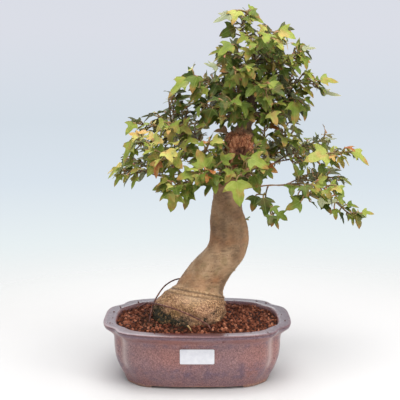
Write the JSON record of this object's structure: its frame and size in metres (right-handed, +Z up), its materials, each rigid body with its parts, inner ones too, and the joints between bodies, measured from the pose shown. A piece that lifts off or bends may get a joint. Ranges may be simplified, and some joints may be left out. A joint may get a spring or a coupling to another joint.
{
  "type": "bonsai tree",
  "caption": "Trident maple bonsai with a leaning trunk, a swollen graft burr and layers of lobed leaves, growing in red-brown soil in a glazed footed oval pot.",
  "frame": {"origin": "middle of the footprint of the whole plant's box, on the plane the pot's feet stand on", "axes": "+X to the right seen from the front, -Y towards the viewer in front of the label, +Z up"},
  "size_m": [0.356, 0.2138, 0.4947],
  "materials": {
    "glaze": "glossy mottled mauve-brown glaze",
    "soil": "matt porous clay granules",
    "bark": "matt bark",
    "leaf": "thin satin leaf",
    "wire": "brown anodised",
    "label": "matt blank",
    "screen": "matt mesh"
  },
  "bodies": {
    "root": {"pot": "glaze", "drain_screen_left": "screen", "drain_screen_right": "screen", "label": "label", "soil": "soil", "trunk": "bark", "tie_wire_arch": "wire", "tie_wire_diagonal": "wire", "spray_apex_left": "leaf", "spray_apex_right": "leaf", "spray_upper_left": "leaf", "spray_upper_right": "leaf", "spray_upper_back": "leaf", "spray_upper_front": "leaf", "spray_upper_back_left": "leaf", "spray_middle_left": "leaf", "spray_middle_left_back": "leaf", "spray_middle_right": "leaf", "spray_middle_front": "leaf", "spray_middle_back": "leaf", "spray_lower_left": "leaf", "spray_lower_right": "leaf", "spray_lower_right_back": "leaf", "spray_lower_front": "leaf", "spray_lower_back": "leaf", "spray_shoulder_left": "leaf", "spray_shoulder_left_front": "leaf", "spray_shoulder_left_mid": "leaf", "spray_shoulder_left_back": "leaf", "spray_low_left": "leaf", "spray_low_left_upper": "leaf", "spray_low_left_front": "leaf", "spray_low_left_back": "leaf", "spray_low_left_inner": "leaf", "spray_right_upper": "leaf", "spray_right_long": "leaf", "spray_right_back": "leaf", "spray_right_inner": "leaf", "spray_right_low": "leaf", "spray_right_front": "leaf", "spray_right_low_front": "leaf", "spray_right_low_back": "leaf", "spray_front_left": "leaf", "spray_front_right": "leaf", "spray_back_left": "leaf", "spray_back_right": "leaf"}
  },
  "joints": []
}
